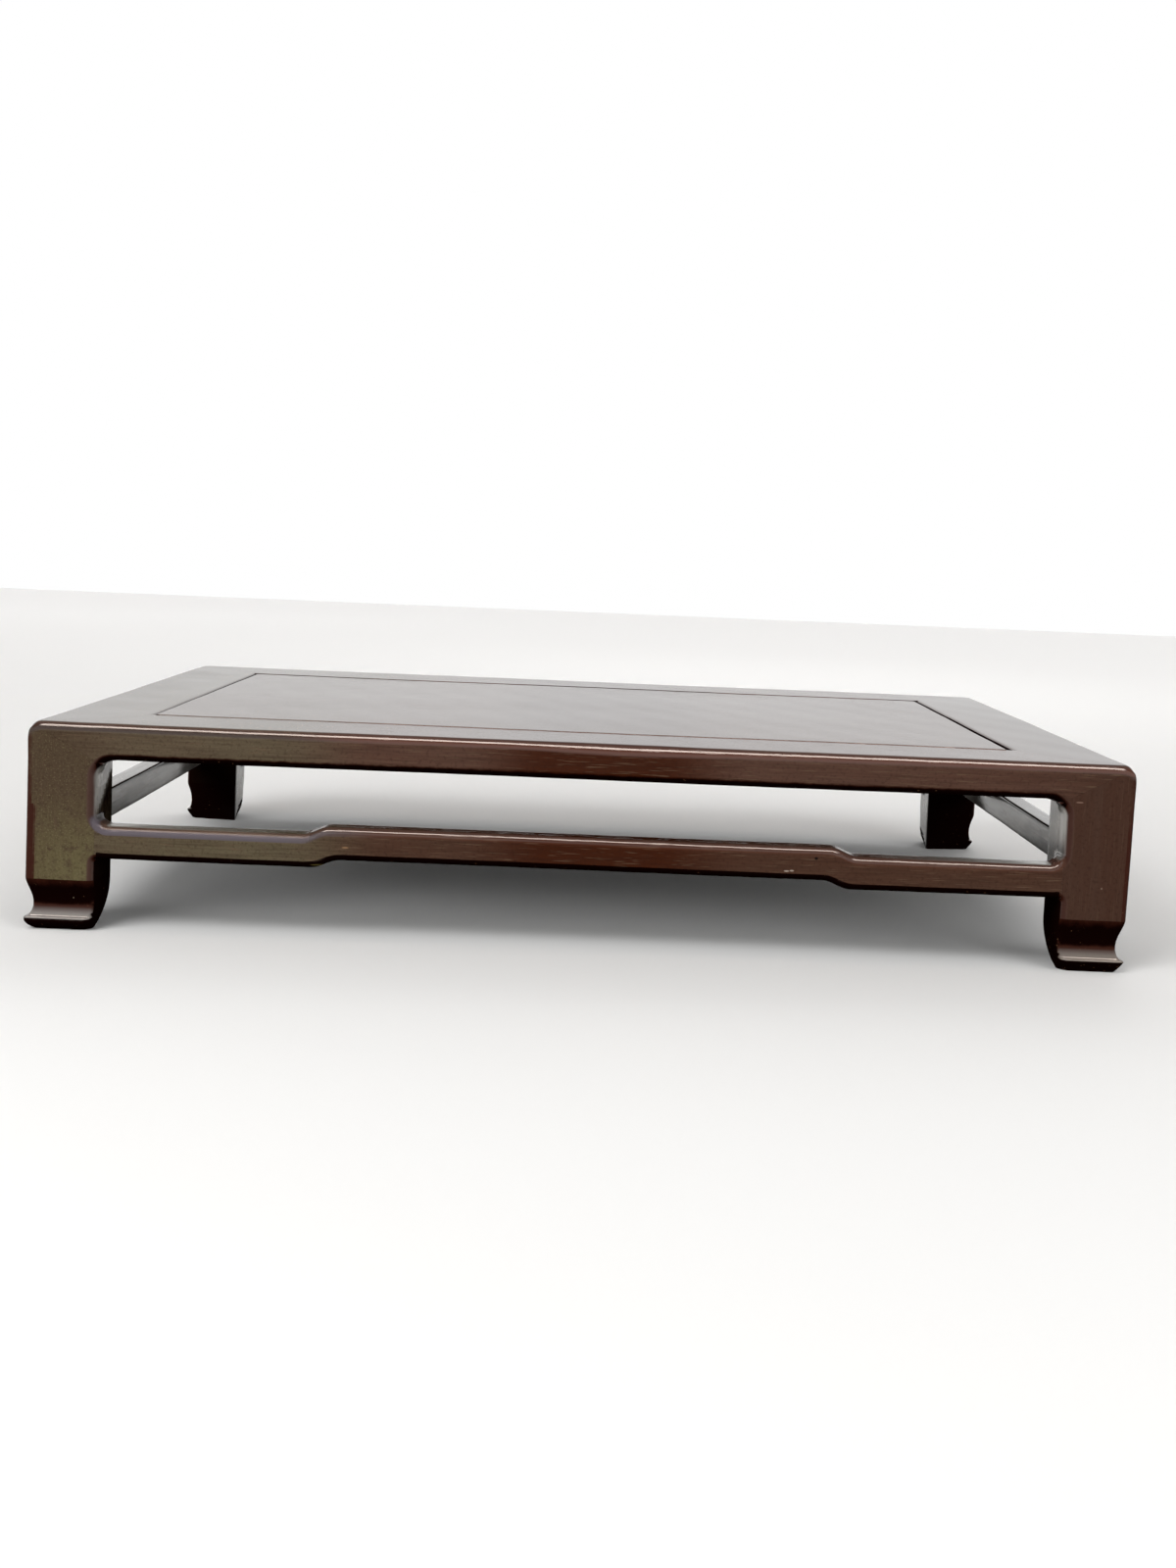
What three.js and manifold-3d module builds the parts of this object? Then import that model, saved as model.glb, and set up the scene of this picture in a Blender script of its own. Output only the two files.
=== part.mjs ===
// Low display table: a mitred frame with a floating panel, on four corner legs
// joined by humpback stretchers front and rear and straight stretchers at the ends.
// Millimetres, +X along the length, +Z up, origin on the floor under the centre.

import * as THREE from 'three';
import { mergeVertices } from 'three/addons/utils/BufferGeometryUtils.js';
import Module from 'manifold-3d';

const wasm = await Module();
wasm.setup();

// Overall size
const tableLength = 600;
const tableDepth = 400;
const tableHeight = 115;

// Top frame and panel
const frameWidth = 54;
const frameHeight = 20;
const topArris = 4.2;
const endShoulder = 2;
const panelThickness = 12;
const panelArris = 0.8;
const tongueThickness = 5;
const tongueLength = 6;
const tongueSlack = 1;
const panelEndGroove = 1.2;

// Openings between the top frame and the stretchers
const windowArris = 5;
const railFillet = 9;
const stretcherFillet = 7;

// Legs
const legWidth = 37;
const legDepth = 34;
const legOuterArris = 2;
const legInnerArris = 4.2;
const legBackArris = 1.5;
const neckTop = 29.5;
const neckDeepest = 13.5;
const neckDepth = 4.4;
const neckRoundness = 1.5;
const toeHeight = 7.2;
const toeUndercut = 3.9;
const toeEndRadius = 7;
const footTaper = 5.9;
const footTaperTop = 24;

// Stretchers
const stretcherThickness = 16;
const stretcherHeight = 18.2;
const stretcherUnder = 40.5;
const stretcherLowerArris = 4.2;
const stretcherBackArris = 1.8;
const humpRise = 4.5;
const humpTopLength = 300;
const humpUnderLength = 292;
const humpSlope = 10.5;
const humpSoftness = 3;

// Battens under the panel
const battenWidth = 24;
const battenHeight = 7.5;
const battenArris = 1;
const battenSpacing = 220;
const dovetailDepth = 3;
const dovetailNeck = 14;
const dovetailFlare = 2;

// Joints
const clearance = 0.3;
const hairline = 0.3;
const legTenonWidth = 13;
const legTenonDepth = 12;
const legTenonCover = 6;
const legTenonShare = 0.58;
const frameTenonWidth = 8;
const frameTenonHeight = 9;
const frameTenonLength = 20;
const frameTenonInset = 4;
const stretcherTenonThickness = 7;
const stretcherTenonLength = 14;
const sideTenonLength = 12;
const stretcherTenonShoulder = 4;
const battenTenonWidth = 12;
const battenTenonHeight = 5;
const battenTenonLength = 10;
const battenTenonShoulder = 1;

const frameUnder = tableHeight - frameHeight;
const panelUnder = tableHeight - panelThickness;
const endInset = tableLength / 2;
const sideInset = tableDepth / 2;

// The straight bars at the ends lie level with the raised part of the long stretchers.
const stretcherTop = stretcherUnder + stretcherHeight;
const sideBarUnder = stretcherUnder + humpRise;
const sideBarTop = stretcherTop + humpRise;

// How far a cutting body runs past the wood that it cuts.
const past = 1;

const wood = (color, roughness) => new THREE.MeshStandardMaterial({ color, roughness, metalness: 0 });
const frameWood = wood(0x4a2b20, 0.28);
const panelWood = wood(0x50301f, 0.25);
const legWood = wood(0x4b3024, 0.32);
const stretcherWood = wood(0x552c20, 0.32);
const battenWood = wood(0x3a2419, 0.6);

// A closed solid from a geometry whose shared corners are merged.
function solidOf(geometry) {
  const bare = geometry.index ? geometry.toNonIndexed() : geometry.clone();
  bare.deleteAttribute('normal');
  bare.deleteAttribute('uv');
  const merged = mergeVertices(bare, 1e-4);
  return new wasm.Manifold(new wasm.Mesh({
    numProp: 3,
    vertProperties: new Float32Array(merged.attributes.position.array),
    triVerts: new Uint32Array(merged.index.array),
  }));
}

function geometryOf(solid) {
  const mesh = solid.getMesh();
  const geometry = new THREE.BufferGeometry();
  geometry.setAttribute('position', new THREE.BufferAttribute(new Float32Array(mesh.vertProperties), 3));
  geometry.setIndex(new THREE.BufferAttribute(new Uint32Array(mesh.triVerts), 1));
  geometry.computeVertexNormals();
  return geometry;
}

function box(low, high) {
  const size = low.map((value, axis) => high[axis] - value);
  const geometry = new THREE.BoxGeometry(...size);
  geometry.translate(...low.map((value, axis) => value + size[axis] / 2));
  return solidOf(geometry);
}

// Outline with its corners rounded; each corner is [across, up, radius].
function roundedShape(corners) {
  const shape = new THREE.Shape();
  corners.forEach(([across, up, radius], index) => {
    const corner = new THREE.Vector2(across, up);
    const before = corners[(index + corners.length - 1) % corners.length];
    const after = corners[(index + 1) % corners.length];
    const towards = (other) => new THREE.Vector2(other[0], other[1]).sub(corner).setLength(radius).add(corner);
    const start = radius > 0 ? towards(before) : corner;
    if (index === 0) {
      shape.moveTo(start.x, start.y);
    } else {
      shape.lineTo(start.x, start.y);
    }
    if (radius > 0) {
      const end = towards(after);
      shape.quadraticCurveTo(corner.x, corner.y, end.x, end.y);
    }
  });
  shape.closePath();
  return shape;
}

function extrude(shape, length) {
  return new THREE.ExtrudeGeometry(shape, { depth: length, bevelEnabled: false, curveSegments: 4 });
}

// The outline stands in the Y-Z plane and runs along +X from startX.
function runAlongX(shape, startX, length) {
  const geometry = extrude(shape, length);
  const turn = new THREE.Matrix4().makeBasis(
    new THREE.Vector3(0, 1, 0), new THREE.Vector3(0, 0, 1), new THREE.Vector3(1, 0, 0));
  geometry.applyMatrix4(turn);
  geometry.translate(startX, 0, 0);
  return solidOf(geometry);
}

// The outline stands in the X-Z plane and runs along +Y from startY.
function runAlongY(shape, startY, length) {
  const geometry = extrude(shape, length);
  geometry.rotateX(Math.PI / 2);
  geometry.translate(0, startY + length, 0);
  return solidOf(geometry);
}

// The outline lies in the X-Y plane and rises from startZ.
function runAlongZ(shape, startZ, length) {
  const geometry = extrude(shape, length);
  geometry.translate(0, 0, startZ);
  return solidOf(geometry);
}

// How far the foot's outer faces stand in from the leg's faces at a height: a straight
// undercut below the toe, a quarter ellipse above it, then a hollow neck up to the flat face.
function footInset(height) {
  if (height < toeHeight) {
    return toeUndercut * (1 - height / toeHeight);
  }
  if (height < neckDeepest) {
    const rise = (height - toeHeight) / (neckDeepest - toeHeight);
    return neckDepth * Math.sqrt(1 - (1 - rise) ** 2);
  }
  if (height < neckTop) {
    const below = (neckTop - height) / (neckTop - neckDeepest);
    return neckDepth * Math.sin((Math.PI / 2) * below) ** neckRoundness;
  }
  return 0;
}

const fallShare = (height, top) => Math.max(0, 1 - height / top);

// The inner faces of the foot draw in towards the floor.
const footNarrowing = (height) => footTaper * fallShare(height, footTaperTop) ** 2;

// Radius of an inner arris: it grows towards the toe and stops under the stretcher.
function innerArris(height, under) {
  if (height > under - clearance) {
    return clearance;
  }
  return legInnerArris + (toeEndRadius - legInnerArris) * fallShare(height, neckTop) ** 2;
}

const levelsBetween = (low, high, shares) => shares.map((share) => low + share * (high - low));

// Heights at which the leg's cross-section is drawn.
function legHeights() {
  return [
    ...levelsBetween(0, toeHeight, [0, 0.5]),
    ...levelsBetween(toeHeight, neckDeepest, [0, 0.08, 0.25, 0.55]),
    ...levelsBetween(neckDeepest, neckTop, [0, 0.2, 0.4, 0.6, 0.8, 1]),
    ...[stretcherUnder, sideBarUnder].flatMap((under) => [under - 3 * clearance, under]),
    tableHeight,
  ];
}

// One cross-section of the leg whose outer corner is at the origin, as points.
function legRing(height) {
  const inset = footInset(height);
  const innerX = legWidth - footNarrowing(height);
  const innerY = legDepth - footNarrowing(height);
  const corners = [
    [inset, inset, legOuterArris],
    [innerX, inset, innerArris(height, stretcherUnder)],
    [innerX, innerY, legBackArris],
    [inset, innerY, innerArris(height, sideBarUnder)],
  ];
  const arcSteps = 4;
  const points = [];
  corners.forEach(([x, y, radius], index) => {
    const centreX = x + (index === 0 || index === 3 ? radius : -radius);
    const centreY = y + (index < 2 ? radius : -radius);
    for (let step = 0; step <= arcSteps; step += 1) {
      const angle = Math.PI * (1 + index / 2) + (Math.PI / 2) * (step / arcSteps);
      points.push([centreX + radius * Math.cos(angle), centreY + radius * Math.sin(angle), height]);
    }
  });
  return points;
}

// Rings joined into one closed skin.
function loft(rings) {
  const count = rings[0].length;
  const position = rings.flat(2);
  const index = [];
  for (let ring = 0; ring + 1 < rings.length; ring += 1) {
    for (let i = 0; i < count; i += 1) {
      const next = (i + 1) % count;
      const a = ring * count + i;
      const b = ring * count + next;
      index.push(a, b, b + count, a, b + count, a + count);
    }
  }
  const last = (rings.length - 1) * count;
  for (let i = 1; i + 1 < count; i += 1) {
    index.push(0, i + 1, i);
    index.push(last, last + i, last + i + 1);
  }
  const geometry = new THREE.BufferGeometry();
  geometry.setAttribute('position', new THREE.BufferAttribute(new Float32Array(position), 3));
  geometry.setIndex(index);
  return solidOf(geometry);
}

// Everything above the leg's head, whose two mitre faces fall from the outer corner.
function aboveLegHead(lift) {
  const far = 2 * legWidth;
  const top = tableHeight + frameHeight;
  const slope = (run) => roundedShape([
    [-run, tableHeight + lift + frameHeight, 0],
    [far, tableHeight + lift - frameHeight * far / run, 0],
    [far, top + frameHeight, 0],
    [-run, top + frameHeight, 0],
  ]);
  const alongX = runAlongY(slope(legWidth), -far, 3 * far);
  const alongY = runAlongX(slope(legDepth), -far, 3 * far);
  return alongX.add(alongY);
}

// The tenon on the leg's head, widened by a gap for its mortise.
function legTenon(gap) {
  const middleX = legWidth * legTenonShare;
  const middleY = legDepth * legTenonShare;
  return box(
    [middleX - legTenonWidth / 2 - gap, middleY - legTenonDepth / 2 - gap, frameUnder - past],
    [middleX + legTenonWidth / 2 + gap, middleY + legTenonDepth / 2 + gap, tableHeight - legTenonCover + gap]);
}

// What a leg takes out of the frame corner above it.
function legHeadCutter() {
  const column = box([-past, -past, frameUnder - past], [legWidth, legDepth, tableHeight + past]);
  return column.subtract(aboveLegHead(clearance)).add(legTenon(clearance));
}

// Tenons of the stretchers, by the leg's outer corner; gap widens them for the mortise.
function frontTenon(gap) {
  const middle = stretcherThickness / 2;
  return box(
    [legWidth - stretcherTenonLength - gap, middle - stretcherTenonThickness / 2 - gap,
      stretcherUnder + stretcherTenonShoulder - gap],
    [legWidth + past, middle + stretcherTenonThickness / 2 + gap,
      stretcherTop - stretcherTenonShoulder + gap]);
}

function sideTenon(gap) {
  const middle = stretcherThickness / 2;
  return box(
    [middle - stretcherTenonThickness / 2 - gap, legDepth - sideTenonLength - gap,
      sideBarUnder + stretcherTenonShoulder - gap],
    [middle + stretcherTenonThickness / 2 + gap, legDepth + past,
      sideBarTop - stretcherTenonShoulder + gap]);
}

// The humpback line, low at both ends and raised in the middle; grow moves the whole line
// down, or up where it is negative, square to its slopes.
function humpCorners(level, length, grow) {
  const lean = grow * Math.tan(Math.atan2(humpRise, humpSlope) / 2);
  const start = (tableLength - length) / 2 + lean;
  const end = tableLength - start;
  return [
    [start, level - grow, humpSoftness],
    [start + humpSlope, level + humpRise - grow, humpSoftness],
    [end - humpSlope, level + humpRise - grow, humpSoftness],
    [end, level - grow, humpSoftness],
  ];
}

// Outline of an opening between two legs, drawn at the face, where its arris is widest.
function windowOutline(length, legAlong, low, humps) {
  const left = legAlong - windowArris;
  const right = length - left;
  const bottom = low - windowArris;
  const top = frameUnder + windowArris;
  return roundedShape([
    [left, bottom, stretcherFillet + windowArris],
    ...humps,
    [right, bottom, stretcherFillet + windowArris],
    [right, top, railFillet + windowArris],
    [left, top, railFillet + windowArris],
  ]);
}

// What an opening takes out of the wood round it: at the face it spreads by the arris, a
// quarter round, and behind that it runs straight back as deep as a stretcher.
function flaredCutter(outline, arris) {
  const straight = 2 * stretcherThickness;
  const flared = new THREE.ExtrudeGeometry(outline, {
    depth: straight, bevelEnabled: true, bevelThickness: arris, bevelSize: -arris,
    bevelSegments: 4, curveSegments: 5,
  });
  flared.rotateX(Math.PI / 2);
  flared.translate(0, straight + arris, 0);
  const kept = box([-past, 0, -tableHeight], [tableLength + past, stretcherThickness, 2 * tableHeight]);
  return solidOf(flared).intersect(kept).add(runAlongY(outline, -past, past));
}

const frontWindow = flaredCutter(
  windowOutline(tableLength, legWidth, stretcherTop, humpCorners(stretcherTop, humpTopLength, windowArris)),
  windowArris);

// The same in an end of the table, where it lies along Y and looks towards -X.
const endWindow = flaredCutter(windowOutline(tableDepth, legDepth, sideBarTop, []), windowArris)
  .rotate([0, 0, 90])
  .mirror([1, 0, 0]);

// Blocks beside the leg that the openings shape into fillets.
function filletBlocks() {
  const levels = (barTop) => [
    [frameUnder - railFillet, frameUnder],
    [barTop + hairline, barTop + stretcherFillet],
  ];
  const inFront = levels(stretcherTop).map(([low, high]) => box(
    [legWidth - past, 0, low], [legWidth + railFillet, stretcherThickness, high]));
  const atTheEnd = levels(sideBarTop).map(([low, high]) => box(
    [0, legDepth - past, low], [stretcherThickness, legDepth + railFillet, high]));
  return [...inFront, ...atTheEnd];
}

// A leg whose outer corner is at the origin.
function legSolid() {
  let leg = loft(legHeights().map(legRing)).subtract(aboveLegHead(0));
  filletBlocks().forEach((block) => {
    leg = leg.add(block);
  });
  return leg
    .subtract(frontWindow)
    .subtract(endWindow)
    .add(legTenon(0))
    .subtract(frontTenon(clearance))
    .subtract(sideTenon(clearance));
}

// Section of a frame member: outer face at 0, grooved inner face at frameWidth.
function frameSection(shoulder) {
  const grooveLow = panelUnder - clearance / 2;
  const grooveHigh = panelUnder + tongueThickness + clearance;
  const grooveDepth = tongueLength + tongueSlack;
  return roundedShape([
    [0, frameUnder, 0],
    [frameWidth, frameUnder, 0],
    [frameWidth, grooveLow, 0],
    [frameWidth - grooveDepth, grooveLow, 0],
    [frameWidth - grooveDepth, grooveHigh, 0],
    [frameWidth, grooveHigh, 0],
    [frameWidth, tableHeight, shoulder],
    [0, tableHeight, topArris],
  ]);
}

// A prism through the whole height of the frame.
const framePrism = (corners) => runAlongZ(
  roundedShape(corners.map(([x, y]) => [x, y, 0])), frameUnder - past, frameHeight + 2 * past);

// The tenon of a long rail at the left mitre, inboard of the leg.
function frameTenon(gap) {
  const low = legDepth + frameTenonInset;
  const under = frameUnder + (frameHeight - frameTenonHeight) / 2;
  return box(
    [frameTenonLength - gap, low - gap, under - gap],
    [low + frameTenonWidth + gap, low + frameTenonWidth + gap, under + frameTenonHeight + gap]);
}

// Section of a batten about its own centre line.
function battenShape() {
  const neck = dovetailNeck / 2;
  const crown = neck + dovetailFlare;
  const foot = panelUnder - battenHeight;
  const half = battenWidth / 2;
  const top = panelUnder + dovetailDepth;
  return roundedShape([
    [-half, foot, battenArris],
    [half, foot, battenArris],
    [half, panelUnder, 0],
    [neck, panelUnder, 0],
    [crown, top, 0],
    [-crown, top, 0],
    [-neck, panelUnder, 0],
    [-half, panelUnder, 0],
  ]);
}

// The dovetailed housing that the panel has for a batten.
function battenHousing() {
  const neck = dovetailNeck / 2 + clearance;
  const top = panelUnder + dovetailDepth + clearance;
  return roundedShape([
    [-neck, panelUnder - past, 0],
    [neck, panelUnder - past, 0],
    [neck, panelUnder, 0],
    [neck + dovetailFlare, top, 0],
    [-neck - dovetailFlare, top, 0],
    [-neck, panelUnder, 0],
  ]);
}

// The batten's stub tenon in the long rail nearest the origin.
function battenTenon(centre, gap) {
  const under = panelUnder - battenHeight + battenTenonShoulder;
  return box(
    [centre - battenTenonWidth / 2 - gap, frameWidth - battenTenonLength - gap, under - gap],
    [centre + battenTenonWidth / 2 + gap, frameWidth + past, under + battenTenonHeight + gap]);
}

const battenCentres = [-battenSpacing / 2, battenSpacing / 2].map((x) => x + endInset);
const toRight = (solid) => solid.mirror([1, 0, 0]).translate([tableLength, 0, 0]);
const toRear = (solid) => solid.mirror([0, 1, 0]).translate([0, tableDepth, 0]);

// Front rail, outer lower corner at the origin.
function longRail() {
  const reach = 2 * frameWidth;
  const gap = hairline / 2;
  const beyondMitre = framePrism([[-reach, -reach - gap], [reach + gap, reach], [-reach, reach]]);
  const corner = beyondMitre.add(legHeadCutter());
  const tenon = frameTenon(0);
  let rail = runAlongX(frameSection(0), 0, tableLength)
    .subtract(corner)
    .subtract(toRight(corner))
    .subtract(frontWindow)
    .add(tenon)
    .add(toRight(tenon));
  battenCentres.forEach((centre) => {
    rail = rail.subtract(battenTenon(centre, clearance));
  });
  return rail;
}

// Left end of the frame, outer front corner at the origin.
function shortEnd() {
  const reach = 2 * frameWidth;
  const gap = hairline / 2;
  const beyondMitre = framePrism([[-reach - gap, -reach], [reach, -reach], [reach, reach + gap]]);
  const corner = beyondMitre.add(legHeadCutter()).add(frameTenon(clearance));
  return runAlongY(frameSection(endShoulder), 0, tableDepth)
    .subtract(corner)
    .subtract(toRear(corner))
    .subtract(endWindow);
}

// The floating panel: a flush field on a lower tongue, housed for the battens.
function panelSolid() {
  const endEdge = frameWidth + panelEndGroove;
  const sideEdge = frameWidth + hairline;
  const fieldShape = roundedShape([
    [endEdge, panelUnder, 0],
    [tableLength - endEdge, panelUnder, 0],
    [tableLength - endEdge, tableHeight, panelArris],
    [endEdge, tableHeight, panelArris],
  ]);
  let panel = runAlongY(fieldShape, sideEdge, tableDepth - 2 * sideEdge);
  const tongueEdge = frameWidth - tongueLength;
  panel = panel.add(box(
    [tongueEdge, tongueEdge, panelUnder],
    [tableLength - tongueEdge, tableDepth - tongueEdge, panelUnder + tongueThickness]));
  battenCentres.forEach((centre) => {
    const housing = runAlongY(battenHousing(), 0, tableDepth).translate([centre, 0, 0]);
    panel = panel.subtract(housing);
  });
  return panel;
}

function battenSolid(centre) {
  const reach = frameWidth + clearance;
  const tenon = battenTenon(0, 0);
  return runAlongY(battenShape(), reach, tableDepth - 2 * reach)
    .add(tenon)
    .add(toRear(tenon))
    .translate([centre, 0, 0]);
}

// The space under the front stretcher, which rounds the stretcher's lower arris.
function underStretcher() {
  const arris = stretcherLowerArris;
  return flaredCutter(roundedShape([
    [-2 * arris, -tableHeight / 2, 0],
    [tableLength + 2 * arris, -tableHeight / 2, 0],
    [tableLength + 2 * arris, stretcherUnder + arris, 0],
    ...humpCorners(stretcherUnder, humpUnderLength, -arris).reverse(),
    [-2 * arris, stretcherUnder + arris, 0],
  ]), arris);
}

// The front stretcher, its back arrises lightly rounded.
function humpStretcher() {
  const soft = stretcherBackArris;
  const right = tableLength - legWidth;
  const outline = roundedShape([
    [legWidth, stretcherUnder + soft, 0],
    ...humpCorners(stretcherUnder, humpUnderLength, -soft),
    [right, stretcherUnder + soft, 0],
    [right, stretcherTop - soft, 0],
    ...humpCorners(stretcherTop, humpTopLength, soft).reverse(),
    [legWidth, stretcherTop - soft, 0],
  ]);
  const softened = new THREE.ExtrudeGeometry(outline, {
    depth: stretcherThickness - 2 * soft, bevelEnabled: true, bevelThickness: soft, bevelSize: soft,
    bevelSegments: 2, curveSegments: 3,
  });
  softened.rotateX(Math.PI / 2);
  softened.translate(0, stretcherThickness - soft, 0);
  const betweenLegs = box([legWidth, -past, 0], [right, stretcherThickness + past, tableHeight]);
  const tenon = frontTenon(0);
  return solidOf(softened)
    .intersect(betweenLegs)
    .subtract(frontWindow)
    .subtract(underStretcher())
    .add(tenon)
    .add(toRight(tenon));
}

function sideStretcher() {
  const section = roundedShape([
    [0, sideBarUnder, stretcherLowerArris],
    [stretcherThickness, sideBarUnder, stretcherBackArris],
    [stretcherThickness, sideBarTop, stretcherBackArris],
    [0, sideBarTop, 0],
  ]);
  const tenon = sideTenon(0);
  return runAlongY(section, legDepth, tableDepth - 2 * legDepth)
    .subtract(endWindow)
    .add(tenon)
    .add(toRear(tenon));
}

const table = new THREE.Group();

// Solids are drawn from the table's front left corner; the origin is under its centre.
function addPiece(name, solid, material) {
  const mesh = new THREE.Mesh(geometryOf(solid.translate([-endInset, -sideInset, 0])), material);
  mesh.name = name;
  table.add(mesh);
}

addPiece('top_panel', panelSolid(), panelWood);
addPiece('front_frame_rail', longRail(), frameWood);
addPiece('rear_frame_rail', toRear(longRail()), frameWood);
addPiece('left_frame_end', shortEnd(), frameWood);
addPiece('right_frame_end', toRight(shortEnd()), frameWood);
addPiece('front_left_leg', legSolid(), legWood);
addPiece('front_right_leg', toRight(legSolid()), legWood);
addPiece('rear_left_leg', toRear(legSolid()), legWood);
addPiece('rear_right_leg', toRear(toRight(legSolid())), legWood);
addPiece('front_stretcher', humpStretcher(), stretcherWood);
addPiece('rear_stretcher', toRear(humpStretcher()), stretcherWood);
addPiece('left_side_stretcher', sideStretcher(), stretcherWood);
addPiece('right_side_stretcher', toRight(sideStretcher()), stretcherWood);
addPiece('left_batten', battenSolid(battenCentres[0]), battenWood);
addPiece('right_batten', battenSolid(battenCentres[1]), battenWood);

export default table;
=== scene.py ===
from math import radians

import bpy
import numpy as np
from mathutils import Matrix, Vector


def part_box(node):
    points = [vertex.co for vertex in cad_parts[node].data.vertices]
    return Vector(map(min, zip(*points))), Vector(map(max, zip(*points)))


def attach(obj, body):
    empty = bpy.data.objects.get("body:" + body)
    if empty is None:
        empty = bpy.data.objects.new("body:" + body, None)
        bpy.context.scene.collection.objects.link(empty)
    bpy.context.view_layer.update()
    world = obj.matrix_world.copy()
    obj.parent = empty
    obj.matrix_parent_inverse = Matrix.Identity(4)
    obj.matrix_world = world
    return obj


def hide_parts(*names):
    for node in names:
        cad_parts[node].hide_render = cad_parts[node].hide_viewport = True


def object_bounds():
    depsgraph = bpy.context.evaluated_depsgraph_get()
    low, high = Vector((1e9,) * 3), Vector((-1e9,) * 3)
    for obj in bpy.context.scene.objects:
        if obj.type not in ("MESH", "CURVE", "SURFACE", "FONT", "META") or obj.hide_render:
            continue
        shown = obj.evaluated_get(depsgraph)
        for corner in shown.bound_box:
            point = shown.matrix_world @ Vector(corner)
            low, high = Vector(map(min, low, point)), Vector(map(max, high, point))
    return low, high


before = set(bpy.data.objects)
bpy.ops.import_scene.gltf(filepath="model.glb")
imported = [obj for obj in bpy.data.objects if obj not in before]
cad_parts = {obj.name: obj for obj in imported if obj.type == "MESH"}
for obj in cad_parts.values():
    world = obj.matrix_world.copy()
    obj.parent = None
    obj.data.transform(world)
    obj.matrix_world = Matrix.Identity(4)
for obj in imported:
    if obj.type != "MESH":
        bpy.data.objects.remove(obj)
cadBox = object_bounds()
lowCorner, highCorner = (Vector(corner) for corner in cadBox)
print("frame loaded:", len(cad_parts), "nodes")


# The camera stands low in front of the table, a little above it, tilted to the left.
cameraSet = {
    "place": (0.0020, -1.0926, 0.2252),
    "forward": (0.00166, 0.98927, -0.14612),
    "roll": 2.38,  # degrees, the right side lifted
    "focalPixels": 1702.6,
    "imageWidth": 1200,
    "sensor": 36.0,
    "nearest": 0.01,
}


def aimed(place, direction):  # standing at a place and looking in a direction
    look = Vector(direction).to_track_quat("-Z", "Y").to_matrix().to_4x4()
    return Matrix.Translation(place) @ look


def addObject(name, data):
    made = bpy.data.objects.new(name, data)
    bpy.context.collection.objects.link(made)
    return made


def makeCamera(s):
    data = bpy.data.cameras.new("viewCamera")
    data.sensor_fit = "HORIZONTAL"
    data.sensor_width = s["sensor"]
    data.lens = s["sensor"] * s["focalPixels"] / s["imageWidth"]
    data.clip_start = s["nearest"]
    camera = addObject("viewCamera", data)
    roll = Matrix.Rotation(radians(s["roll"]), 4, "Z")
    camera.matrix_world = aimed(s["place"], s["forward"]) @ roll
    bpy.context.scene.camera = camera


makeCamera(cameraSet)
print("camera set")


def nodeTools(tree):
    # short ways of adding nodes to a material or to the world
    def fill(node, inputs):  # with plain values or other nodes' outputs
        for name, source in inputs.items():
            if isinstance(source, bpy.types.NodeSocket):
                tree.links.new(source, node.inputs[name])
            else:
                node.inputs[name].default_value = source

    def add(kind, inputs=None, **settings):
        node = tree.nodes.new("ShaderNode" + kind)
        for name, value in settings.items():
            setattr(node, name, value)
        fill(node, inputs or {})
        return node.outputs

    def math(operation, *sources, kind="Math"):
        outputs = add(kind, dict(enumerate(sources)), operation=operation)
        return outputs["Value"] if operation == "LENGTH" else outputs[0]

    def times(product, *others):
        for other in others:
            product = math("MULTIPLY", product, other)
        return product

    def ramp(value, low, high, toLow=0.0, toHigh=1.0, shape="SMOOTHSTEP"):
        ends = {"Value": value, "From Min": low, "From Max": high, "To Min": toLow, "To Max": toHigh}
        return add("MapRange", ends, interpolation_type=shape)["Result"]

    def mix(factor, a, b, kind="RGBA"):
        return add("Mix", {"Factor": factor, "A": a, "B": b}, data_type=kind)["Result"]

    return fill, add, math, times, ramp, mix


stageSet = {
    "white": (1, 1, 1, 1),
    "floorColour": (0.86, 0.86, 0.85, 1),
    "floorBounce": (0.22, 0.21, 0.20, 1),  # what the underside sees of the floor
    "floorRough": 0.9,
    "floorSize": 8.0,
    "farFrom": (0.4, 3.0),  # distances between which the floor grows paler
    "farGlow": 0.42,
    "worldLight": 0.42,  # what lights the wood from all round
    "worldSeen": 1.0,  # white, as the camera sees it
    "wallSeen": 0.87,  # the wall behind the table, as the polish sees it
    "wallTop": (0.33, 0.66),  # sines of the heights between which the wall fades into the ceiling
    "ceilingSeen": 0.05,  # the dim ceiling, as the polish sees it
    "lampFrom": (0.10, 0.04),  # the long ceiling light, by how far it lies from overhead:
    "lampTo": (-0.28, -0.22),  # from just behind the zenith to well before it
    "lampEnds": (0.85, 0.90),  # sines of the heights between which its ends grow bright
    "lampSeen": 16.0,
    "lampTint": (1.0, 0.86, 0.77, 1),
    "roomFrom": (0.02, -0.10),  # where the wall behind gives way to the room in front
    "roomTop": (0.93, 0.72),  # sines between which the front of the room grows bright
    "roomLow": (-0.05, 0.40),  # and between which it darkens again towards the floor
    "roomFoot": 0.1,  # to this share
    "roomSeen": 0.95,
}


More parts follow.
